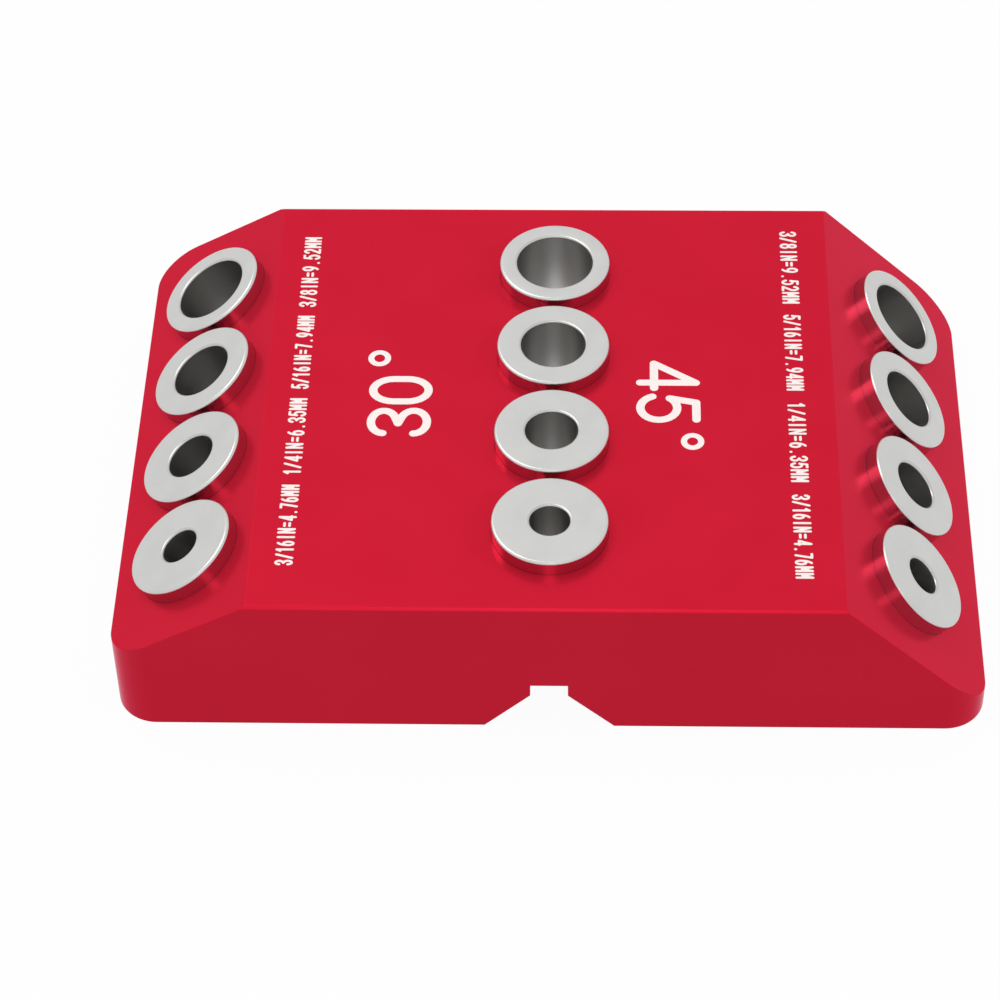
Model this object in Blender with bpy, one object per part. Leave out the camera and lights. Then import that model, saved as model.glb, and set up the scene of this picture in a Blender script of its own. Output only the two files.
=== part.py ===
"""Angle drill guide: a milled aluminium block with three rows of pressed-in steel drill bushings.

The block stands on its underside with the origin at the centre of that face. X runs along the block from
the shallow face on the left to the steep face on the right, and the drill sizes fall from back (+Y) to
front (-Y). Lengths are in metres.
"""

import math

import bmesh
import bpy
from mathutils import Matrix, Vector

INCH = 0.0254

# Block
BLOCK_LENGTH = 0.105
BLOCK_WIDTH = 0.070
STEEP_END_HEIGHT = 0.0032
CORNER_RADIUS = 0.005
EDGE_BREAK = 0.0004
SHALLOW_ANGLE = math.radians(30)
STEEP_ANGLE = math.radians(45)

# Groove that seats the block on round stock and on corners
GROOVE_WIDTH = 0.0156
GROOVE_SIDE_ANGLE = math.radians(45)
RELIEF_WIDTH = 0.0045
RELIEF_DEPTH = 0.0018

# Bushings, from the back row place to the front one, in sixteenths of an inch
BORE_SIXTEENTHS = (6, 5, 4, 3)
LARGEST_BORE_WALL = 0.0022375
BUSHING_STAND = 0.002
BUSHING_RIM_CHAMFER = 0.0004
BUSHING_MOUTH_CHAMFER = 0.0003
BUSHING_LEAD_CHAMFER = 0.0006
PRESS_GAP = 0.00005
SEAT_GAP = 0.0003
WAY_CLEARANCE = 0.0004

# Metal left round the bushings
BUSHING_WEB = 0.001
SHALLOW_RIDGE_MARGIN = 0.00225
SHALLOW_END_MARGIN = 0.0035
STEEP_RIDGE_MARGIN = 0.0053
STEEP_END_MARGIN = 0.0059
STEEP_SEAT_FLOOR = 0.0016

# Fineness of the round shapes, and how far a cutter runs past what it cuts
TURNED_SEGMENTS = 40
CORNER_SEGMENTS = 8
EDGE_SEGMENTS = 2
OVERRUN = 0.001
SMOOTH_ANGLE = math.radians(28)

# Sizes that follow from those above
BUSHING_DIAMETER = INCH * max(BORE_SIXTEENTHS) / 16 + 2 * LARGEST_BORE_WALL
BUSHING_RADIUS = BUSHING_DIAMETER / 2
BUSHING_PITCH = BUSHING_DIAMETER + BUSHING_WEB
SHALLOW_FACE_LENGTH = SHALLOW_RIDGE_MARGIN + BUSHING_DIAMETER + SHALLOW_END_MARGIN
STEEP_FACE_LENGTH = STEEP_RIDGE_MARGIN + BUSHING_DIAMETER + STEEP_END_MARGIN
BLOCK_HEIGHT = STEEP_END_HEIGHT + STEEP_FACE_LENGTH * math.sin(STEEP_ANGLE)
SHALLOW_RIDGE_X = SHALLOW_FACE_LENGTH * math.cos(SHALLOW_ANGLE) - BLOCK_LENGTH / 2
STEEP_RIDGE_X = BLOCK_LENGTH / 2 - STEEP_FACE_LENGTH * math.cos(STEEP_ANGLE)
SEAT_RADIUS = BUSHING_RADIUS + PRESS_GAP
STEEP_ROW_HEIGHT = BLOCK_HEIGHT - (STEEP_RIDGE_MARGIN + BUSHING_RADIUS) * math.sin(STEEP_ANGLE)
SEAT_DEPTH = (STEEP_ROW_HEIGHT - STEEP_SEAT_FLOOR - SEAT_RADIUS * math.sin(STEEP_ANGLE)) / math.cos(STEEP_ANGLE)
GROOVE_DEPTH = (GROOVE_WIDTH - RELIEF_WIDTH) / 2 / math.tan(GROOVE_SIDE_ANGLE)


def clear_scene():
    """Remove every object that the file opened with."""
    for obj in list(bpy.data.objects):
        bpy.data.objects.remove(obj, do_unlink=True)


def finish_material(name, colour, roughness, metallic):
    """A Principled material with one base colour."""
    material = bpy.data.materials.new(name)
    material.use_nodes = True
    shader = material.node_tree.nodes["Principled BSDF"]
    shader.inputs["Base Color"].default_value = (*colour, 1.0)
    shader.inputs["Roughness"].default_value = roughness
    shader.inputs["Metallic"].default_value = metallic
    return material


def add_object(name, mesh_builder, parent=None):
    """Wrap a bmesh in an object of the scene, with its faces turned outwards."""
    bmesh.ops.recalc_face_normals(mesh_builder, faces=mesh_builder.faces)
    mesh = bpy.data.meshes.new(name)
    mesh_builder.to_mesh(mesh)
    mesh_builder.free()
    obj = bpy.data.objects.new(name, mesh)
    bpy.context.scene.collection.objects.link(obj)
    obj.parent = parent
    return obj


def hide_cutter(obj):
    """Keep a cutter out of the finished object."""
    obj.hide_render = True
    obj.display_type = "WIRE"
    return obj


def extrude_outline(builder, points, travel):
    """Fill an outline and push it along a vector into a solid."""
    face = builder.faces.new([builder.verts.new(point) for point in points])
    grown = bmesh.ops.extrude_face_region(builder, geom=[face])
    moved = [item for item in grown["geom"] if isinstance(item, bmesh.types.BMVert)]
    bmesh.ops.translate(builder, verts=moved, vec=travel)


def cross_section_cutter(name, outline):
    """A cutter with one X-Z outline that runs the whole width of the block and past it."""
    builder = bmesh.new()
    reach = BLOCK_WIDTH / 2 + OVERRUN
    points = [Vector((x, -reach, z)) for x, z in outline]
    extrude_outline(builder, points, Vector((0, 2 * reach, 0)))
    return hide_cutter(add_object(name, builder))


def turned_solid(name, profile, parent, hollow):
    """Turn a profile of (radius, height) points about Z: a ring where it is hollow, else a capped solid."""
    builder = bmesh.new()
    rings = []
    for radius, height in profile:
        ring = []
        for step in range(TURNED_SEGMENTS):
            turn = 2 * math.pi * step / TURNED_SEGMENTS
            ring.append(builder.verts.new((radius * math.cos(turn), radius * math.sin(turn), height)))
        rings.append(ring)
    pairs = list(zip(rings, rings[1:]))
    if hollow:
        pairs.append((rings[-1], rings[0]))
    else:
        builder.faces.new(rings[0])
        builder.faces.new(rings[-1])
    for upper, lower in pairs:
        for step in range(TURNED_SEGMENTS):
            after = (step + 1) % TURNED_SEGMENTS
            builder.faces.new((upper[step], upper[after], lower[after], lower[step]))
    return add_object(name, builder, parent)


def rounded_stock():
    """The block before milling: a rectangle with rounded corners in plan, at full height."""
    centre_x = BLOCK_LENGTH / 2 - CORNER_RADIUS
    centre_y = BLOCK_WIDTH / 2 - CORNER_RADIUS
    outline = []
    for quarter, (side_x, side_y) in enumerate(((1, 1), (-1, 1), (-1, -1), (1, -1))):
        for step in range(CORNER_SEGMENTS + 1):
            turn = math.pi / 2 * (quarter + step / CORNER_SEGMENTS)
            x = side_x * centre_x + CORNER_RADIUS * math.cos(turn)
            y = side_y * centre_y + CORNER_RADIUS * math.sin(turn)
            outline.append(Vector((x, y, 0)))
    builder = bmesh.new()
    extrude_outline(builder, outline, Vector((0, 0, BLOCK_HEIGHT)))
    return add_object("guide_block", builder)


def slope_cutter(name, ridge_x, end_side, angle):
    """The wedge that is milled away above a sloped face, from its ridge to past the end of the block."""
    slope = math.tan(angle)
    end_x = end_side * (BLOCK_LENGTH / 2 + OVERRUN)
    over_top = BLOCK_HEIGHT + OVERRUN
    outline = (
        (ridge_x - end_side * OVERRUN / slope, over_top),
        (end_x, BLOCK_HEIGHT - abs(end_x - ridge_x) * slope),
        (end_x, over_top),
    )
    return cross_section_cutter(name, outline)


def groove_cutter():
    """The underside groove: a V that opens downwards, with a square relief along its top."""
    half_mouth = GROOVE_WIDTH / 2 + OVERRUN * math.tan(GROOVE_SIDE_ANGLE)
    half_relief = RELIEF_WIDTH / 2
    right_side = [
        (half_relief, GROOVE_DEPTH + RELIEF_DEPTH),
        (half_relief, GROOVE_DEPTH),
        (half_mouth, -OVERRUN),
    ]
    left_side = [(-x, z) for x, z in reversed(right_side)]
    return cross_section_cutter("groove_cutter", right_side + left_side)


def bushing_profile(bore_radius):
    """The closed section of a bushing, with the face that it is pressed into at height 0."""
    top = BUSHING_STAND
    bottom = -SEAT_DEPTH
    return (
        (bore_radius + BUSHING_MOUTH_CHAMFER, top),
        (BUSHING_RADIUS - BUSHING_RIM_CHAMFER, top),
        (BUSHING_RADIUS, top - BUSHING_RIM_CHAMFER),
        (BUSHING_RADIUS, bottom + BUSHING_LEAD_CHAMFER),
        (BUSHING_RADIUS - BUSHING_LEAD_CHAMFER, bottom),
        (bore_radius, bottom),
        (bore_radius, top - BUSHING_MOUTH_CHAMFER),
    )


def bore_profile(bore_radius, face_height, tilt):
    """The cut for one bushing: its seat, and the drill's way on to below the underside."""
    way_radius = bore_radius + WAY_CLEARANCE
    way_depth = face_height / math.cos(tilt) + way_radius * math.tan(abs(tilt)) + OVERRUN
    seat_bottom = -SEAT_DEPTH - SEAT_GAP
    return (
        (SEAT_RADIUS, OVERRUN),
        (SEAT_RADIUS, seat_bottom),
        (way_radius, seat_bottom),
        (way_radius, -way_depth),
    )


def row_frame(name, centre_x, face_height, tilt):
    """An empty in the middle of a row, with its Z axis square to the face that the row stands in."""
    frame = bpy.data.objects.new(name, None)
    bpy.context.scene.collection.objects.link(frame)
    frame.matrix_world = Matrix.Translation((centre_x, 0, face_height)) @ Matrix.Rotation(tilt, 4, "Y")
    return frame


def build_row(row_name, centre_x, face_height, tilt, steel, bore_cutters):
    """Four bushings in line, and the cuts that they are pressed into."""
    frame = row_frame(row_name + "_row", centre_x, face_height, tilt)
    middle = (len(BORE_SIXTEENTHS) - 1) / 2
    for place, sixteenths in enumerate(BORE_SIXTEENTHS):
        bore_radius = INCH * sixteenths / 16 / 2
        size_name = f"{row_name}_bushing_{sixteenths}_sixteenths"
        bushing = turned_solid(size_name, bushing_profile(bore_radius), frame, hollow=True)
        cutter = turned_solid(
            size_name + "_cutter", bore_profile(bore_radius, face_height, tilt), frame, hollow=False
        )
        hide_cutter(cutter)
        bore_cutters.objects.link(cutter)
        for obj in (bushing, cutter):
            obj.location.y = (middle - place) * BUSHING_PITCH
        bushing.data.materials.append(steel)
        bushing.data.shade_smooth()
        bushing.data.set_sharp_from_angle(angle=SMOOTH_ANGLE)


def cut(obj, name, cutter=None, cutters=None):
    """Take a cutter, or a collection of them, out of an object."""
    modifier = obj.modifiers.new(name, "BOOLEAN")
    modifier.operation = "DIFFERENCE"
    modifier.solver = "EXACT"
    if cutters is None:
        modifier.object = cutter
    else:
        modifier.operand_type = "COLLECTION"
        modifier.collection = cutters


def break_edges(obj):
    """A small rounded break along every sharp edge."""
    modifier = obj.modifiers.new("edge_break", "BEVEL")
    modifier.width = EDGE_BREAK
    modifier.segments = EDGE_SEGMENTS
    modifier.limit_method = "ANGLE"
    modifier.angle_limit = SMOOTH_ANGLE


def settle(obj):
    """Turn the modifiers' result into the object's own mesh, shaded smooth between its real edges."""
    graph = bpy.context.evaluated_depsgraph_get()
    finished = bpy.data.meshes.new_from_object(obj.evaluated_get(graph))
    finished.name = obj.name
    obj.modifiers.clear()
    obj.data = finished
    finished.shade_smooth()
    finished.set_sharp_from_angle(angle=SMOOTH_ANGLE)


def build_guide():
    """The block, its bushings and their two finishes."""
    red_anodised = finish_material("red_anodised_aluminium", (0.62, 0.022, 0.048), 0.35, 0.6)
    steel = finish_material("bushing_steel", (0.62, 0.61, 0.60), 0.3, 1.0)

    block = rounded_stock()
    block.data.materials.append(red_anodised)
    cut(block, "shallow_face", slope_cutter("shallow_face_cutter", SHALLOW_RIDGE_X, -1, SHALLOW_ANGLE))
    cut(block, "steep_face", slope_cutter("steep_face_cutter", STEEP_RIDGE_X, 1, STEEP_ANGLE))
    cut(block, "groove", groove_cutter())
    break_edges(block)

    bore_cutters = bpy.data.collections.new("bore_cutters")
    shallow_reach = SHALLOW_RIDGE_MARGIN + BUSHING_RADIUS
    steep_reach = STEEP_RIDGE_MARGIN + BUSHING_RADIUS
    build_row(
        "shallow",
        SHALLOW_RIDGE_X - shallow_reach * math.cos(SHALLOW_ANGLE),
        BLOCK_HEIGHT - shallow_reach * math.sin(SHALLOW_ANGLE),
        -SHALLOW_ANGLE,
        steel,
        bore_cutters,
    )
    build_row("upright", 0, BLOCK_HEIGHT, 0, steel, bore_cutters)
    build_row(
        "steep",
        STEEP_RIDGE_X + steep_reach * math.cos(STEEP_ANGLE),
        STEEP_ROW_HEIGHT,
        STEEP_ANGLE,
        steel,
        bore_cutters,
    )
    cut(block, "bores", cutters=bore_cutters)
    bpy.context.view_layer.update()
    settle(block)


clear_scene()
build_guide()
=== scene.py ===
"""The looks of the angle drill guide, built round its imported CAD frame. Lengths are in metres."""

import math
from fractions import Fraction
from functools import cache

import bmesh
import bpy
from mathutils import Matrix, Vector
from mathutils.geometry import delaunay_2d_cdt, intersect_point_line


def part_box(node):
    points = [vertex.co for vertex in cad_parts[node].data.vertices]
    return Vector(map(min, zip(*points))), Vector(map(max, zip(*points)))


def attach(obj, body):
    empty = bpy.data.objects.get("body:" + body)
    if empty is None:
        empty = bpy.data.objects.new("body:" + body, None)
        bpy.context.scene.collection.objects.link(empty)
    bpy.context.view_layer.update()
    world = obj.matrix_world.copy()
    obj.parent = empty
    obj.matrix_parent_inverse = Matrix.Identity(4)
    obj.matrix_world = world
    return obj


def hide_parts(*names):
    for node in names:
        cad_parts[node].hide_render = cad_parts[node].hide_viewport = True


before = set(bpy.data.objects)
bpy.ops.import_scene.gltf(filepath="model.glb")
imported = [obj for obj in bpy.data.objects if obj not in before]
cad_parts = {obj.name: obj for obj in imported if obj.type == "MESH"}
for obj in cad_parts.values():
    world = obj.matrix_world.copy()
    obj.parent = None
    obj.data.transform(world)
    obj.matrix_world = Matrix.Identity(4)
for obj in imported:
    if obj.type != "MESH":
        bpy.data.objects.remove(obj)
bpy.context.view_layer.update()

MM = 0.001
INCH = 0.0254

# Block, from the frame where it gives the size
block_low, block_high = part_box("guide_block")
BLOCK_LENGTH = block_high.x - block_low.x
BLOCK_WIDTH = block_high.y - block_low.y
BLOCK_HEIGHT = block_high.z - block_low.z
CORNER_RADIUS = 5 * MM
TOP_CHAMFER = 0.4 * MM
EDGE_BREAK = 0.1 * MM
SHALLOW_ANGLE = math.radians(30)
STEEP_ANGLE = math.radians(45)
GROOVE_WIDTH = 15.6 * MM
GROOVE_SIDE_ANGLE = math.radians(45)
RELIEF_WIDTH = 4.5 * MM
RELIEF_DEPTH = 1.8 * MM

# Bushings, from the back row place to the front one, in sixteenths of an inch
BORE_SIXTEENTHS = (6, 5, 4, 3)
BUSHING_RADIUS = 7 * MM
BUSHING_PITCH = 15 * MM
BUSHING_STAND = 2 * MM
BUSHING_BOTTOM = 8.1 * MM
RIM_RADIUS = 0.35 * MM
MOUTH_RADIUS = 0.3 * MM
LEAD_CHAMFER = 0.6 * MM
WAY_CLEARANCE = 0.4 * MM
SEAT_CLEARANCE = 0.02 * MM
SEAT_DEPTH = 8.4 * MM

# Sloped faces, from the ridge to the bushings and on to the end
SHALLOW_RIDGE_MARGIN = 2.25 * MM
SHALLOW_END_MARGIN = 3.5 * MM
STEEP_RIDGE_MARGIN = 5.3 * MM
STEEP_END_MARGIN = 5.9 * MM
SHALLOW_FACE_LENGTH = SHALLOW_RIDGE_MARGIN + 2 * BUSHING_RADIUS + SHALLOW_END_MARGIN
STEEP_FACE_LENGTH = STEEP_RIDGE_MARGIN + 2 * BUSHING_RADIUS + STEEP_END_MARGIN
SHALLOW_RIDGE_X = SHALLOW_FACE_LENGTH * math.cos(SHALLOW_ANGLE) - BLOCK_LENGTH / 2
STEEP_RIDGE_X = BLOCK_LENGTH / 2 - STEEP_FACE_LENGTH * math.cos(STEEP_ANGLE)
GROOVE_DEPTH = (GROOVE_WIDTH - RELIEF_WIDTH) / 2 / math.tan(GROOVE_SIDE_ANGLE)

# Fineness
TURNED_SEGMENTS = 128
CORNER_SEGMENTS = 20
EDGE_SEGMENTS = 4
FILLET_SEGMENTS = 5
OVERRUN = 1 * MM
TOUCH = 0.01 * MM
SMOOTH_ANGLE = math.radians(24)
ARC_STEP = 12
JOIN_NEARNESS = 0.003
FILL_ALL = 0

# Fine marks in the materials, with noise scales per metre
DRIFT_SCALE = 90.0
ANODISED_GRAIN_SCALE = 5200.0
TURNING_SCALE = 2600.0
BAND_SCALE = 420.0
CLOUD_SCALE = 300.0
PATCH_SCALE = 900.0
ANODISED_GRAIN_STRENGTH = 0.12
FINE_MARK_DEPTH = 0.02 * MM
ANODISED_ROUGHNESS = (0.2, 0.28)
MARKING_ROUGHNESS = (0.55, 0.7)

# White marks on the top face
MARK_RISE = 0.02 * MM
MARK_SINK = 0.02 * MM
ANGLE_MARK_STROKE = 1.03 * MM
ANGLE_MARK_WIDTH = 4.95 * MM
ANGLE_MARK_HEIGHT = 7.9 * MM
ANGLE_MARK_GAP = 0.58 * MM
SHALLOW_MARK_BASE_X = -14.8 * MM
SHALLOW_MARK_START_Y = -6.9 * MM
STEEP_MARK_BASE_X = 10.3 * MM
STEEP_MARK_START_Y = 6.55 * MM
DEGREE_RADIUS = 1.05 * MM
DEGREE_STROKE = 0.75 * MM
DEGREE_GAP = 1.15 * MM
DEGREE_HEIGHT = 6.85 * MM
SIZE_MARK_STROKE = 0.32 * MM
SIZE_MARK_HEIGHT = 2.2 * MM
SIZE_MARK_FILL = 0.86
SHALLOW_SIZE_BASE_X = -30.2 * MM
SHALLOW_SIZE_LENGTH = 13.25 * MM
SHALLOW_SIZE_PITCH = 14.75 * MM
SHALLOW_SIZE_MIDDLE_Y = 0.5 * MM
STEEP_SIZE_BASE_X = 28.85 * MM
STEEP_SIZE_LENGTH = 13.7 * MM
STEEP_SIZE_PITCH = 15.6 * MM
STEEP_SIZE_MIDDLE_Y = 0.3 * MM

# Camera, fitted to the photograph
VIEW_YAW = math.radians(2.459)
VIEW_ELEVATION = math.radians(46.636)
VIEW_ROLL = math.radians(-1.428)
VIEW_TARGET = Vector((-6.782, 0.0, 2.529)) * MM
VIEW_DISTANCE = 427.93 * MM
VIEW_LENS = 120.99
SENSOR_WIDTH = 36.0
CLIP_START = 10 * MM

# Light levels, where 1 shows a colour about as it is written
AMBIENT_LEVEL = 0.24
FLOOR_GLOW = 0.9
FLOOR_COLOUR = (0.3, 0.3, 0.3, 1.0)
FLOOR_GLOW_STRENGTH = 1.07
FLOOR_ROUGHNESS = 0.8
FLOOR_REACH = 3.0
FLOOR_THICKNESS = 10 * MM
FLOOR_DROP = 0.02 * MM


def srgb(red, green, blue):
    """A linear colour from the 0 to 255 numbers that a picture shows."""
    linear = []
    for value in (red, green, blue):
        share = value / 255
        linear.append(share / 12.92 if share <= 0.04045 else ((share + 0.055) / 1.055) ** 2.4)
    return (*linear, 1.0)


def new_material(name):
    """A new node material, with its tree and its Principled shader."""
    material = bpy.data.materials.new(name)
    material.use_nodes = True
    tree = material.node_tree
    return material, tree, tree.nodes["Principled BSDF"]


def add_node(tree, kind, **settings):
    """A shader node with its properties set."""
    node = tree.nodes.new(kind)
    for name, value in settings.items():
        setattr(node, name, value)
    return node


def noise(tree, coordinate, scale, detail):
    """A noise texture's value at a coordinate."""
    node = add_node(tree, "ShaderNodeTexNoise")
    node.inputs["Scale"].default_value = scale
    node.inputs["Detail"].default_value = detail
    tree.links.new(coordinate, node.inputs["Vector"])
    return node.outputs["Fac"]


def spread(tree, value, low, high):
    """Map a 0 to 1 value to a narrower range."""
    node = add_node(tree, "ShaderNodeMapRange")
    node.inputs["To Min"].default_value = low
    node.inputs["To Max"].default_value = high
    tree.links.new(value, node.inputs["Value"])
    return node.outputs["Result"]


def blend_colours(tree, factor, first, second):
    """Mix two fixed colours by a value."""
    node = add_node(tree, "ShaderNodeMix", data_type="RGBA")
    for name, colour in (("A", first), ("B", second)):
        for socket in node.inputs:
            if socket.name == name and socket.type == "RGBA":
                socket.default_value = colour
    tree.links.new(factor, node.inputs["Factor"])
    return next(socket for socket in node.outputs if socket.type == "RGBA")


def bump(tree, height, strength):
    """A very shallow bump from a height value."""
    node = add_node(tree, "ShaderNodeBump")
    node.inputs["Strength"].default_value = strength
    node.inputs["Distance"].default_value = FINE_MARK_DEPTH
    tree.links.new(height, node.inputs["Height"])
    return node.outputs["Normal"]


def anodised_material():
    """Satin red anodising: a fine blasted grain, and a slow drift in depth of colour."""
    material, tree, shader = new_material("red_anodised")
    place = add_node(tree, "ShaderNodeTexCoord").outputs["Object"]
    drift = noise(tree, place, DRIFT_SCALE, detail=2.0)
    grain = noise(tree, place, ANODISED_GRAIN_SCALE, detail=2.0)
    colour = blend_colours(tree, drift, srgb(200, 24, 48), srgb(207, 30, 53))
    tree.links.new(colour, shader.inputs["Base Color"])
    tree.links.new(spread(tree, grain, *ANODISED_ROUGHNESS), shader.inputs["Roughness"])
    tree.links.new(bump(tree, grain, ANODISED_GRAIN_STRENGTH), shader.inputs["Normal"])
    shader.inputs["Metallic"].default_value = 0.6
    shader.inputs["Specular IOR Level"].default_value = 0.09
    shader.inputs["Specular Tint"].default_value = (1.0, 0.5, 0.65, 1.0)
    return material


def turned_material(name, low, high, roughness, marks):
    """Bare metal with faint turning marks round the axis, across a face as down a bore."""
    material, tree, shader = new_material(name)
    place = add_node(tree, "ShaderNodeTexCoord").outputs["Object"]
    split = add_node(tree, "ShaderNodeSeparateXYZ")
    tree.links.new(place, split.inputs["Vector"])
    flat = add_node(tree, "ShaderNodeCombineXYZ")
    tree.links.new(split.outputs["X"], flat.inputs["X"])
    tree.links.new(split.outputs["Y"], flat.inputs["Y"])
    radius = add_node(tree, "ShaderNodeVectorMath", operation="LENGTH")
    tree.links.new(flat.outputs["Vector"], radius.inputs[0])
    section = add_node(tree, "ShaderNodeCombineXYZ")
    tree.links.new(radius.outputs["Value"], section.inputs["X"])
    tree.links.new(split.outputs["Z"], section.inputs["Y"])
    turning = noise(tree, section.outputs["Vector"], TURNING_SCALE, detail=3.0)
    bands = noise(tree, section.outputs["Vector"], BAND_SCALE, detail=1.0)
    cloud = noise(tree, place, CLOUD_SCALE, detail=3.0)
    tree.links.new(blend_colours(tree, cloud, low, high), shader.inputs["Base Color"])
    tree.links.new(spread(tree, bands, *roughness), shader.inputs["Roughness"])
    tree.links.new(bump(tree, turning, marks), shader.inputs["Normal"])
    shader.inputs["Metallic"].default_value = 1.0
    return material


def bushing_materials():
    """The zones of a bushing: its ground face, its polished outside and its slightly darker bore."""
    return (
        turned_material(
            "ground_face",
            low=srgb(194, 194, 192),
            high=srgb(208, 208, 206),
            roughness=(0.24, 0.36),
            marks=0.08,
        ),
        turned_material(
            "polished_side",
            low=srgb(186, 185, 184),
            high=srgb(200, 199, 198),
            roughness=(0.06, 0.14),
            marks=0.03,
        ),
        turned_material(
            "honed_bore",
            low=srgb(184, 183, 181),
            high=srgb(198, 197, 194),
            roughness=(0.24, 0.38),
            marks=0.12,
        ),
    )


def marking_material():
    """White marking, slightly uneven where it is etched into the colour."""
    material, tree, shader = new_material("white_marking")
    place = add_node(tree, "ShaderNodeTexCoord").outputs["Object"]
    patches = noise(tree, place, PATCH_SCALE, detail=3.0)
    colour = blend_colours(tree, patches, srgb(250, 234, 231), srgb(254, 246, 243))
    tree.links.new(colour, shader.inputs["Base Color"])
    tree.links.new(spread(tree, patches, *MARKING_ROUGHNESS), shader.inputs["Roughness"])
    return material


def add_object(name, builder, material=None):
    """Wrap a bmesh in an object of the scene, with its faces turned outwards."""
    bmesh.ops.recalc_face_normals(builder, faces=builder.faces)
    mesh = bpy.data.meshes.new(name)
    builder.to_mesh(mesh)
    builder.free()
    obj = bpy.data.objects.new(name, mesh)
    bpy.context.scene.collection.objects.link(obj)
    if material is not None:
        mesh.materials.append(material)
    return obj


def extrude_outline(builder, points, travel):
    """Fill an outline and push it along a vector into a solid."""
    face = builder.faces.new([builder.verts.new(point) for point in points])
    grown = bmesh.ops.extrude_face_region(builder, geom=[face])
    moved = [item for item in grown["geom"] if isinstance(item, bmesh.types.BMVert)]
    bmesh.ops.translate(builder, verts=moved, vec=travel)


def turned_solid(name, profile, hollow, zones=()):
    """Turn (radius, height) points about Z: a ring where hollow, else capped. Zones number its materials."""
    builder = bmesh.new()
    rings = []
    for radius, height in profile:
        ring = []
        for step in range(TURNED_SEGMENTS):
            turn = 2 * math.pi * step / TURNED_SEGMENTS
            ring.append(builder.verts.new((radius * math.cos(turn), radius * math.sin(turn), height)))
        rings.append(ring)
    pairs = list(zip(rings, rings[1:]))
    if hollow:
        pairs.append((rings[-1], rings[0]))
    else:
        builder.faces.new(rings[0])
        builder.faces.new(rings[-1])
    for band, (upper, lower) in enumerate(pairs):
        for step in range(TURNED_SEGMENTS):
            after = (step + 1) % TURNED_SEGMENTS
            face = builder.faces.new((upper[step], upper[after], lower[after], lower[step]))
            face.material_index = zones[band] if zones else 0
    return add_object(name, builder)


def settle(obj):
    """Turn the modifiers' result into the object's own mesh, smooth between its real edges."""
    graph = bpy.context.evaluated_depsgraph_get()
    finished = bpy.data.meshes.new_from_object(obj.evaluated_get(graph))
    obj.modifiers.clear()
    obj.data = finished
    finished.shade_smooth()
    finished.set_sharp_from_angle(angle=SMOOTH_ANGLE)


def discard(objects):
    """Remove helper objects from the scene."""
    for obj in list(objects):
        bpy.data.objects.remove(obj, do_unlink=True)


def level_normals(obj):
    """Let large faces set the shading where they meet the small faces of a rounded edge."""
    normals = obj.modifiers.new("face_normals", "WEIGHTED_NORMAL")
    normals.keep_sharp = True


def cut(obj, cutters):
    """Take a collection of cutters out of an object. A cutter's material stays on what it cut."""
    modifier = obj.modifiers.new("cut", "BOOLEAN")
    modifier.operation = "DIFFERENCE"
    modifier.solver = "EXACT"
    modifier.material_mode = "TRANSFER"
    modifier.operand_type = "COLLECTION"
    modifier.collection = cutters


def collect(name, objects):
    """Put objects in a collection of their own, so that one Boolean can use them all."""
    group = bpy.data.collections.new(name)
    for obj in objects:
        group.objects.link(obj)
    return group


def cross_section_cutter(name, outline):
    """A cutter with one X-Z outline that runs the whole width of the block and past it."""
    builder = bmesh.new()
    reach = BLOCK_WIDTH / 2 + OVERRUN
    extrude_outline(builder, [Vector((x, -reach, z)) for x, z in outline], Vector((0, 2 * reach, 0)))
    return add_object(name, builder)


def slope_cutter(name, ridge_x, end_side, angle):
    """The wedge that is milled away above a sloped face."""
    slope = math.tan(angle)
    end_x = end_side * (BLOCK_LENGTH / 2 + OVERRUN)
    over_top = BLOCK_HEIGHT + OVERRUN
    outline = (
        (ridge_x - end_side * OVERRUN / slope, over_top),
        (end_x, BLOCK_HEIGHT - abs(end_x - ridge_x) * slope),
        (end_x, over_top),
    )
    return cross_section_cutter(name, outline)


def groove_cutter():
    """The underside groove: a V that opens downwards, with a square relief along its top."""
    half_mouth = GROOVE_WIDTH / 2 + OVERRUN * math.tan(GROOVE_SIDE_ANGLE)
    half_relief = RELIEF_WIDTH / 2
    right_side = [
        (half_relief, GROOVE_DEPTH + RELIEF_DEPTH),
        (half_relief, GROOVE_DEPTH),
        (half_mouth, -OVERRUN),
    ]
    left_side = [(-x, z) for x, z in reversed(right_side)]
    return cross_section_cutter("groove_cutter", right_side + left_side)


def chamfer_cutter(name, side):
    """The wedge that takes off the long edge of the top face at one side."""
    reach = BLOCK_LENGTH / 2 + OVERRUN
    outer_y = BLOCK_WIDTH / 2 + OVERRUN
    inner_y = BLOCK_WIDTH / 2 - TOP_CHAMFER - OVERRUN
    over_top = BLOCK_HEIGHT + OVERRUN
    outline = (
        (outer_y, BLOCK_HEIGHT - TOP_CHAMFER - OVERRUN),
        (outer_y, over_top),
        (inner_y, over_top),
    )
    builder = bmesh.new()
    extrude_outline(builder, [Vector((-reach, side * y, z)) for y, z in outline], Vector((2 * reach, 0, 0)))
    return add_object(name, builder)


def rounded_stock():
    """The block before milling: a rectangle with rounded corners in plan, at full height."""
    centre_x = BLOCK_LENGTH / 2 - CORNER_RADIUS
    centre_y = BLOCK_WIDTH / 2 - CORNER_RADIUS
    outline = []
    for quarter, (side_x, side_y) in enumerate(((1, 1), (-1, 1), (-1, -1), (1, -1))):
        for step in range(CORNER_SEGMENTS + 1):
            turn = math.pi / 2 * (quarter + step / CORNER_SEGMENTS)
            x = side_x * centre_x + CORNER_RADIUS * math.cos(turn)
            y = side_y * centre_y + CORNER_RADIUS * math.sin(turn)
            outline.append(Vector((x, y, 0)))
    builder = bmesh.new()
    extrude_outline(builder, outline, Vector((0, 0, BLOCK_HEIGHT)))
    return add_object("guide_block_body", builder)


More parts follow.
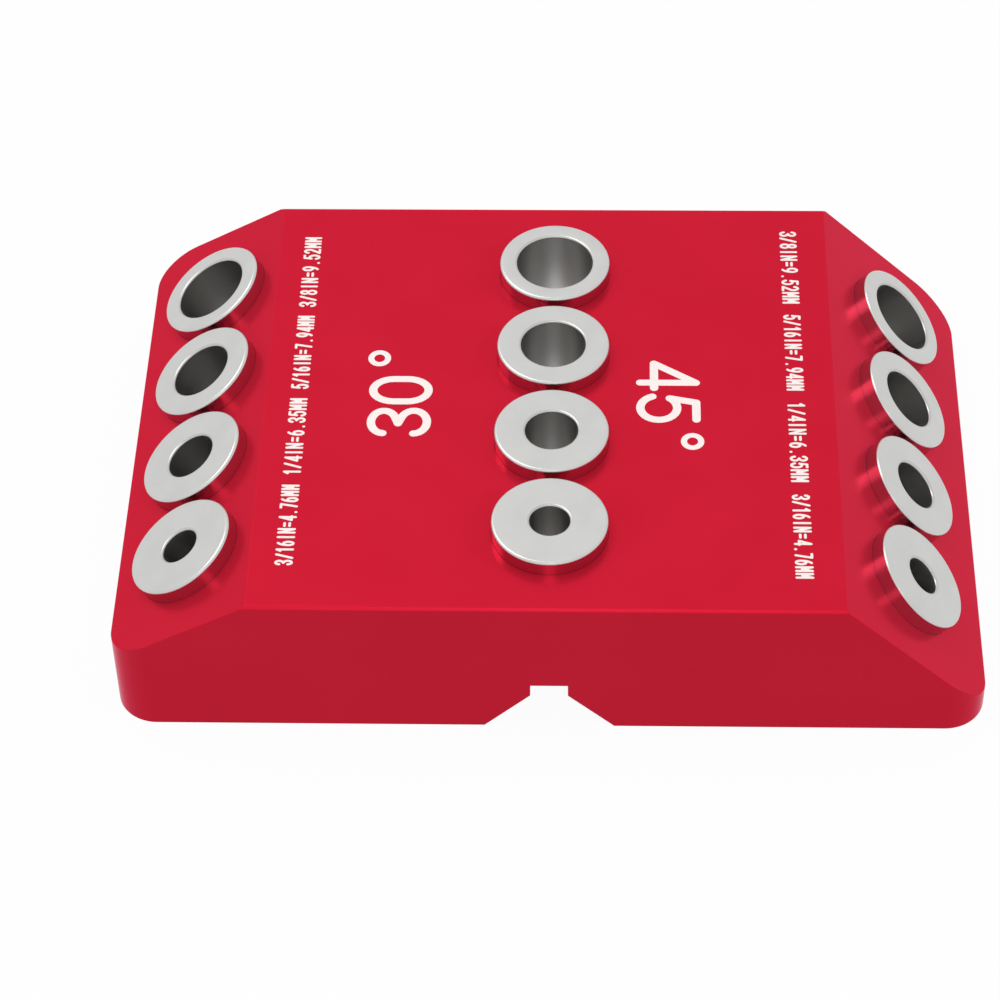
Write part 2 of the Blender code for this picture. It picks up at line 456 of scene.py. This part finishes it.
def row_places():
    """Each row's name with the frame of its face: Z square to the face, and the face's height there."""
    shallow_reach = SHALLOW_RIDGE_MARGIN + BUSHING_RADIUS
    steep_reach = STEEP_RIDGE_MARGIN + BUSHING_RADIUS
    places = (
        ("shallow", SHALLOW_RIDGE_X, -shallow_reach, -SHALLOW_ANGLE),
        ("upright", 0.0, 0.0, 0.0),
        ("steep", STEEP_RIDGE_X, steep_reach, STEEP_ANGLE),
    )
    for name, ridge_x, reach, tilt in places:
        height = BLOCK_HEIGHT - abs(reach * math.sin(tilt))
        place = Matrix.Translation((ridge_x + reach * math.cos(tilt), 0, height))
        yield name, place @ Matrix.Rotation(tilt, 4, "Y"), height, tilt


def bushing_places():
    """Each bushing's node name, bore radius, place, face height and tilt."""
    middle = (len(BORE_SIXTEENTHS) - 1) / 2
    for row_name, row, height, tilt in row_places():
        for order, sixteenths in enumerate(BORE_SIXTEENTHS):
            along = Matrix.Translation((0, (middle - order) * BUSHING_PITCH, 0))
            node = f"{row_name}_bushing_{sixteenths}_sixteenths"
            yield node, INCH * sixteenths / 32, row @ along, height, tilt


def bore_cutters(material):
    """The cuts for the bushings' seats and for the drills' ways to below the underside."""
    for node, bore_radius, place, height, tilt in bushing_places():
        way_radius = bore_radius + WAY_CLEARANCE
        way_depth = height / math.cos(tilt) + way_radius * math.tan(abs(tilt)) + OVERRUN
        seat_radius = BUSHING_RADIUS + SEAT_CLEARANCE
        profile = (
            (seat_radius, OVERRUN),
            (seat_radius, -SEAT_DEPTH),
            (way_radius, -SEAT_DEPTH),
            (way_radius, -way_depth),
        )
        cutter = turned_solid(node + "_cutter", profile, hollow=False)
        cutter.data.materials.append(material)
        cutter.matrix_world = place
        yield cutter


def build_block():
    """The block with its fine edges and round bores, in place of the CAD block."""
    red = anodised_material()
    # The drill ways through the block are bare reamed metal. Their grey is made darker than the metal to
    # paint the shade deep down the bores.
    way_painted_shade = turned_material(
        "reamed_way_painted_shade",
        low=srgb(150, 149, 148),
        high=srgb(166, 165, 164),
        roughness=(0.25, 0.4),
        marks=0.2,
    )
    block = rounded_stock()
    faces = [
        slope_cutter("shallow_cutter", SHALLOW_RIDGE_X, -1, SHALLOW_ANGLE),
        slope_cutter("steep_cutter", STEEP_RIDGE_X, 1, STEEP_ANGLE),
        groove_cutter(),
        chamfer_cutter("front_cutter", -1),
        chamfer_cutter("back_cutter", 1),
    ]
    for obj in [block] + faces:
        obj.data.materials.append(red)
    cut(block, collect("face_cutters", faces))
    bpy.context.view_layer.update()
    settle(block)
    edges = block.modifiers.new("edge_break", "BEVEL")
    edges.width = EDGE_BREAK
    edges.segments = EDGE_SEGMENTS
    edges.limit_method = "ANGLE"
    edges.angle_limit = SMOOTH_ANGLE
    bores = list(bore_cutters(way_painted_shade))
    cut(block, collect("bore_cutters", bores))
    bpy.context.view_layer.update()
    settle(block)
    discard(faces + bores)
    level_normals(block)
    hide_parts("guide_block")
    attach(block, "root")


def fillet(centre, radius, start, end):
    """Points of a rounded edge in a turned profile, with angles in degrees."""
    points = []
    for step in range(FILLET_SEGMENTS + 1):
        turn = math.radians(start + (end - start) * step / FILLET_SEGMENTS)
        points.append((centre[0] + radius * math.cos(turn), centre[1] + radius * math.sin(turn)))
    return points


def build_bushings():
    """Twelve turned bushings with rounded rims and mouths, in place of the CAD ones."""
    materials = bushing_materials()
    face_zone, side_zone, bore_zone = range(len(materials))
    mouth = [bore_zone] * FILLET_SEGMENTS
    face_and_rim = [face_zone] * (1 + FILLET_SEGMENTS)
    side_and_lead = [side_zone, side_zone]
    bottom_and_bore = [face_zone, bore_zone]
    zones = mouth + face_and_rim + side_and_lead + bottom_and_bore
    top = BUSHING_STAND
    bottom = -BUSHING_BOTTOM
    for node, bore_radius, place, _, _ in bushing_places():
        mouth_centre = (bore_radius + MOUTH_RADIUS, top - MOUTH_RADIUS)
        rim_centre = (BUSHING_RADIUS - RIM_RADIUS, top - RIM_RADIUS)
        profile = fillet(mouth_centre, MOUTH_RADIUS, 180, 90)
        profile += fillet(rim_centre, RIM_RADIUS, 90, 0)
        profile += [
            (BUSHING_RADIUS, bottom + LEAD_CHAMFER),
            (BUSHING_RADIUS - LEAD_CHAMFER, bottom),
            (bore_radius, bottom),
        ]
        bushing = turned_solid(node + "_turned", profile, hollow=True, zones=zones)
        for material in materials:
            bushing.data.materials.append(material)
        bushing.data.shade_smooth()
        bushing.data.set_sharp_from_angle(angle=SMOOTH_ANGLE)
        level_normals(bushing)
        bushing.matrix_world = place
        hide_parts(node)
        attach(bushing, "root")


def arc(centre, radii, start, end):
    """Points along an ellipse, with angles in degrees."""
    count = max(3, round(abs(end - start) / ARC_STEP))
    points = []
    for step in range(count + 1):
        turn = math.radians(start + (end - start) * step / count)
        points.append((centre[0] + radii[0] * math.cos(turn), centre[1] + radii[1] * math.sin(turn)))
    return points


def glyph_strokes():
    """The strokes of each sign in a unit box, with U along the line and V up. A loop ends where it starts."""
    oval = arc((0.5, 0.62), (0.5, 0.38), 0, 180) + arc((0.5, 0.38), (0.5, 0.38), 180, 360)
    hook = arc((0.48, 0.7), (0.46, 0.3), 165, -35)
    three_middle = (0.44, 0.515)
    bowl = arc((0.47, 0.33), (0.53, 0.33), 143, -160)
    return {
        "0": [oval + [oval[0]]],
        "1": [[(0.2, 0.78), (0.6, 1.0)], [(0.6, 1.0), (0.6, 0.0)]],
        "2": [hook + [(0.0, 0.0)], [(0.0, 0.0), (1.0, 0.0)]],
        "3": [
            arc((0.5, 0.775), (0.49, 0.225), 178, -70) + [three_middle],
            [three_middle] + arc((0.5, 0.24), (0.5, 0.24), 70, -178),
        ],
        "4": [[(1.1, 0.25), (0.0, 0.25)], [(0.0, 0.25), (0.86, 1.0)], [(0.86, 1.0), (0.86, 0.0)]],
        "5": [[(0.98, 1.0), (0.23, 1.0)], [(0.23, 1.0), bowl[0]], bowl],
        "6": [arc((0.5, 0.31), (0.48, 0.31), 0, 360), arc((0.98, 0.31), (0.96, 0.7), 112, 180)],
        "7": [[(0.0, 1.0), (1.0, 1.0)], [(1.0, 1.0), (0.35, 0.0)]],
        "8": [arc((0.5, 0.76), (0.42, 0.24), 0, 360), arc((0.5, 0.26), (0.5, 0.26), 0, 360)],
        "9": [arc((0.5, 0.69), (0.48, 0.31), 0, 360), arc((0.02, 0.69), (0.96, 0.7), -68, 0)],
        "/": [[(0.0, 0.0), (1.0, 1.0)]],
        "=": [[(0.1, 0.66), (0.9, 0.66)], [(0.1, 0.34), (0.9, 0.34)]],
        ".": [[(0.5, 0.0), (0.5, 0.02)]],
        "I": [[(0.5, 0.0), (0.5, 1.0)]],
        "N": [[(0.0, 0.0), (0.0, 1.0)], [(0.0, 1.0), (1.0, 0.0)], [(1.0, 0.0), (1.0, 1.0)]],
        "M": [
            [(0.0, 0.0), (0.0, 1.0)],
            [(0.0, 1.0), (0.5, 0.35)],
            [(0.5, 0.35), (1.0, 1.0)],
            [(1.0, 1.0), (1.0, 0.0)],
        ],
    }


def side_of(points, index, closed):
    """The unit vector square to a path at one of its points."""
    before = points[index - 1] if index or closed else points[0]
    after = points[(index + 1) % len(points)] if index + 1 < len(points) or closed else points[-1]
    along = (Vector(after) - Vector(before)).normalized()
    return Vector((-along.y, along.x))


def is_closed(path):
    """Whether a path ends where it starts."""
    return (Vector(path[0]) - Vector(path[-1])).length < TOUCH


def stroke_outlines(path, stroke):
    """A band of one width along a path, as a flat piece for each step, and the round ends of an open path."""
    closed = is_closed(path)
    points = [Vector(point) for point in (path[:-1] if closed else path)]
    sides = [stroke / 2 * side_of(points, index, closed) for index in range(len(points))]
    left = [point + side for point, side in zip(points, sides)]
    right = [point - side for point, side in zip(points, sides)]
    bands = []
    for index in range(len(points) if closed else len(points) - 1):
        after = (index + 1) % len(points)
        bands.append([left[index], right[index], right[after], left[after]])
    ends = []
    if not closed:
        for end, side in ((points[0], sides[0]), (points[-1], sides[-1])):
            start = math.degrees(math.atan2(side.y, side.x))
            circle = arc(end, (stroke / 2, stroke / 2), start, start + 360)
            ends.append((end, [Vector(point) for point in circle[:-1]]))
    return bands, ends


def lies_on(point, paths, reach):
    """Whether a point is within reach of any of the paths."""
    for path in paths:
        for first, second in zip(path, path[1:]):
            near, share = intersect_point_line(point, first, second)
            if share < 0:
                near = first
            elif share > 1:
                near = second
            if (Vector(near[:2]) - point).length < reach:
                return True
    return False


def joined_strokes(paths, stroke):
    """One thin solid from strokes that cross or meet. They are joined flat, in millimetres."""
    outlines = []
    rounded = []
    for path in paths:
        bands, ends = stroke_outlines(path, stroke)
        outlines += bands
        for end, circle in ends:
            if all((end - other).length > TOUCH for other in rounded):
                rounded.append(end)
                outlines.append(circle)
    points = []
    pieces = []
    for outline in outlines:
        pieces.append(list(range(len(points), len(points) + len(outline))))
        points += [point / MM for point in outline]
    places, _, triangles, _, _, _ = delaunay_2d_cdt(points, [], pieces, FILL_ALL, JOIN_NEARNESS)
    lines = [[Vector(point) / MM for point in path] for path in paths]
    builder = bmesh.new()
    corners = [builder.verts.new((x * MM, y * MM, -MARK_SINK)) for x, y in places]
    for triangle in triangles:
        middle = sum((places[index] for index in triangle), Vector((0, 0))) / 3
        if lies_on(middle, lines, stroke / 2 / MM):
            builder.faces.new([corners[index] for index in triangle])
    bmesh.ops.remove_doubles(builder, verts=builder.verts, dist=JOIN_NEARNESS * MM)
    loose = [corner for corner in builder.verts if not corner.link_faces]
    bmesh.ops.delete(builder, geom=loose, context="VERTS")
    grown = bmesh.ops.extrude_face_region(builder, geom=list(builder.faces))
    moved = [item for item in grown["geom"] if isinstance(item, bmesh.types.BMVert)]
    bmesh.ops.translate(builder, verts=moved, vec=Vector((0, 0, MARK_SINK + MARK_RISE)))
    mesh = bpy.data.meshes.new("sign")
    builder.to_mesh(mesh)
    builder.free()
    return mesh


@cache
def sign_mesh(sign, width, height, stroke):
    """The mesh of one sign at its real size, made once for each size."""
    inset = stroke / 2
    paths = []
    for path in glyph_strokes()[sign]:
        paths.append([(inset + u * (width - stroke), inset + v * (height - stroke)) for u, v in path])
    return joined_strokes(paths, stroke)


def build_mark(name, signs, material):
    """One piece from (mesh, place) pairs."""
    builder = bmesh.new()
    for mesh, place in signs:
        copied = mesh.copy()
        copied.transform(place)
        builder.from_mesh(copied)
        bpy.data.meshes.remove(copied)
    mark = add_object(name, builder, material)
    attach(mark, "root")


def reading_place(base_x, start_y, reads_back):
    """The place of a line of signs on the top face, read towards +Y or towards -Y."""
    turn = math.pi / 2 if reads_back else -math.pi / 2
    return Matrix.Translation((base_x, start_y, BLOCK_HEIGHT)) @ Matrix.Rotation(turn, 4, "Z")


def angle_mark(name, digits, base_x, start_y, reads_back, material):
    """Two large digits and a degree ring, each placed by the width of the one before it."""
    line = reading_place(base_x, start_y, reads_back)
    signs = []
    along = 0.0
    for digit in digits:
        mesh = sign_mesh(digit, ANGLE_MARK_WIDTH, ANGLE_MARK_HEIGHT, ANGLE_MARK_STROKE)
        signs.append((mesh, line @ Matrix.Translation((along, 0, 0))))
        along += max(vertex.co.x for vertex in mesh.vertices) + ANGLE_MARK_GAP
    ring_along = along + DEGREE_GAP + DEGREE_RADIUS + DEGREE_STROKE / 2
    ring_path = arc((ring_along, DEGREE_HEIGHT), (DEGREE_RADIUS, DEGREE_RADIUS), 0, 360)
    ring = joined_strokes([ring_path], DEGREE_STROKE)
    signs.append((ring, line))
    build_mark(name, signs, material)


def size_marks(name, base_x, length, pitch, middle_y, reads_back, material):
    """The drill sizes beside a row, in inches and millimetres, one line of signs for each bushing."""
    signs = []
    middle = (len(BORE_SIXTEENTHS) - 1) / 2
    for order, sixteenths in enumerate(BORE_SIXTEENTHS):
        bore = Fraction(sixteenths, 16)
        text = f"{bore}IN={float(bore) * INCH / MM:.2f}MM"
        centre_y = middle_y + (middle - order) * pitch
        start_y = centre_y - length / 2 * (1 if reads_back else -1)
        line = reading_place(base_x, start_y, reads_back)
        advance = length / len(text)
        for place, sign in enumerate(text):
            mesh = sign_mesh(sign, advance * SIZE_MARK_FILL, SIZE_MARK_HEIGHT, SIZE_MARK_STROKE)
            signs.append((mesh, line @ Matrix.Translation((place * advance, 0, 0))))
    build_mark(name, signs, material)


def build_marks():
    """The angle numbers and the drill sizes."""
    white = marking_material()
    angle_mark("shallow_angle_mark", "30", SHALLOW_MARK_BASE_X, SHALLOW_MARK_START_Y, True, white)
    angle_mark("steep_angle_mark", "45", STEEP_MARK_BASE_X, STEEP_MARK_START_Y, False, white)
    size_marks(
        "shallow_size_marks",
        SHALLOW_SIZE_BASE_X,
        SHALLOW_SIZE_LENGTH,
        SHALLOW_SIZE_PITCH,
        SHALLOW_SIZE_MIDDLE_Y,
        True,
        white,
    )
    size_marks(
        "steep_size_marks",
        STEEP_SIZE_BASE_X,
        STEEP_SIZE_LENGTH,
        STEEP_SIZE_PITCH,
        STEEP_SIZE_MIDDLE_Y,
        False,
        white,
    )


def seen_directly(tree):
    """1 on rays from the camera or by way of gloss or glass, and 0 on rays that light a surface."""
    path = add_node(tree, "ShaderNodeLightPath")
    seen = path.outputs["Is Camera Ray"]
    for kind in ("Is Glossy Ray", "Is Transmission Ray"):
        either = add_node(tree, "ShaderNodeMath", operation="MAXIMUM")
        tree.links.new(seen, either.inputs[0])
        tree.links.new(path.outputs[kind], either.inputs[1])
        seen = either.outputs[0]
    unscattered = add_node(tree, "ShaderNodeMath", operation="LESS_THAN")
    unscattered.inputs[1].default_value = 0.5
    tree.links.new(path.outputs["Diffuse Depth"], unscattered.inputs[0])
    both = add_node(tree, "ShaderNodeMath", operation="MULTIPLY")
    tree.links.new(seen, both.inputs[0])
    tree.links.new(unscattered.outputs[0], both.inputs[1])
    return both.outputs[0]


def build_floor():
    """A wide white floor that keeps a soft shadow."""
    builder = bmesh.new()
    corners = [(x * FLOOR_REACH, y * FLOOR_REACH, 0) for x, y in ((-1, -1), (1, -1), (1, 1), (-1, 1))]
    extrude_outline(builder, corners, Vector((0, 0, -FLOOR_THICKNESS)))
    material, tree, shader = new_material("white_floor")
    shader.inputs["Base Color"].default_value = FLOOR_COLOUR
    shader.inputs["Roughness"].default_value = FLOOR_ROUGHNESS
    shader.inputs["Specular IOR Level"].default_value = 0.0
    glow = add_node(tree, "ShaderNodeEmission")
    glow.inputs["Strength"].default_value = FLOOR_GLOW_STRENGTH
    share = add_node(tree, "ShaderNodeMath", operation="MULTIPLY")
    share.inputs[1].default_value = FLOOR_GLOW
    tree.links.new(seen_directly(tree), share.inputs[0])
    blend = add_node(tree, "ShaderNodeMixShader")
    tree.links.new(share.outputs[0], blend.inputs["Fac"])
    tree.links.new(shader.outputs[0], blend.inputs[1])
    tree.links.new(glow.outputs[0], blend.inputs[2])
    tree.links.new(blend.outputs[0], tree.nodes["Material Output"].inputs["Surface"])
    floor = add_object("floor", builder, material)
    floor.location.z = -FLOOR_DROP


def build_world():
    """White all round as the camera and the metals see it, and a plain soft level as light."""
    world = bpy.data.worlds.new("studio")
    world.use_nodes = True
    tree = world.node_tree
    background = tree.nodes["Background"]
    level = add_node(tree, "ShaderNodeMapRange")
    level.inputs["To Min"].default_value = AMBIENT_LEVEL
    level.inputs["To Max"].default_value = 1.0
    tree.links.new(seen_directly(tree), level.inputs["Value"])
    tree.links.new(level.outputs["Result"], background.inputs["Strength"])
    background.inputs["Color"].default_value = (1.0, 1.0, 1.0, 1.0)
    bpy.context.scene.world = world


def add_lamp(name, place, size, power, mirrored):
    """A square soft light that faces the object. Metals show it as a bright patch only if it is mirrored."""
    light = bpy.data.lights.new(name, "AREA")
    light.shape = "SQUARE"
    light.size = size
    light.energy = power
    lamp = bpy.data.objects.new(name, light)
    lamp.location = place
    lamp.rotation_euler = (-Vector(place)).to_track_quat("-Z", "Y").to_euler()
    lamp.visible_glossy = mirrored
    bpy.context.scene.collection.objects.link(lamp)


def build_camera():
    """The photograph's point of view."""
    back = Vector((
        math.sin(VIEW_YAW) * math.cos(VIEW_ELEVATION),
        -math.cos(VIEW_YAW) * math.cos(VIEW_ELEVATION),
        math.sin(VIEW_ELEVATION),
    ))
    right = Vector((math.cos(VIEW_YAW), math.sin(VIEW_YAW), 0))
    up = back.cross(right)
    rolled_right = right * math.cos(VIEW_ROLL) + up * math.sin(VIEW_ROLL)
    rolled_up = back.cross(rolled_right)
    camera = bpy.data.cameras.new("camera")
    camera.sensor_width = SENSOR_WIDTH
    camera.lens = VIEW_LENS
    camera.clip_start = CLIP_START
    viewer = bpy.data.objects.new("camera", camera)
    turn = Matrix((rolled_right, rolled_up, back)).transposed().to_4x4()
    viewer.matrix_world = Matrix.Translation(VIEW_TARGET + back * VIEW_DISTANCE) @ turn
    bpy.context.scene.collection.objects.link(viewer)
    bpy.context.scene.camera = viewer


build_camera()
build_world()
build_floor()
add_lamp("overhead_lamp", place=(-0.05, -0.12, 0.9), size=1.2, power=4.4, mirrored=False)
add_lamp("back_lamp", place=(-0.37, 0.28, 0.8), size=0.45, power=1.9, mirrored=True)
add_lamp("front_lamp", place=(0.0, -0.6, 0.64), size=0.2, power=0.2, mirrored=True)
add_lamp("right_lamp", place=(0.7, -0.1, 0.34), size=0.5, power=2.2, mirrored=False)
add_lamp("left_lamp", place=(-0.6, -0.1, 0.3), size=0.4, power=0.9, mirrored=False)
build_block()
build_bushings()
build_marks()
bpy.context.scene.view_settings.view_transform = "Standard"
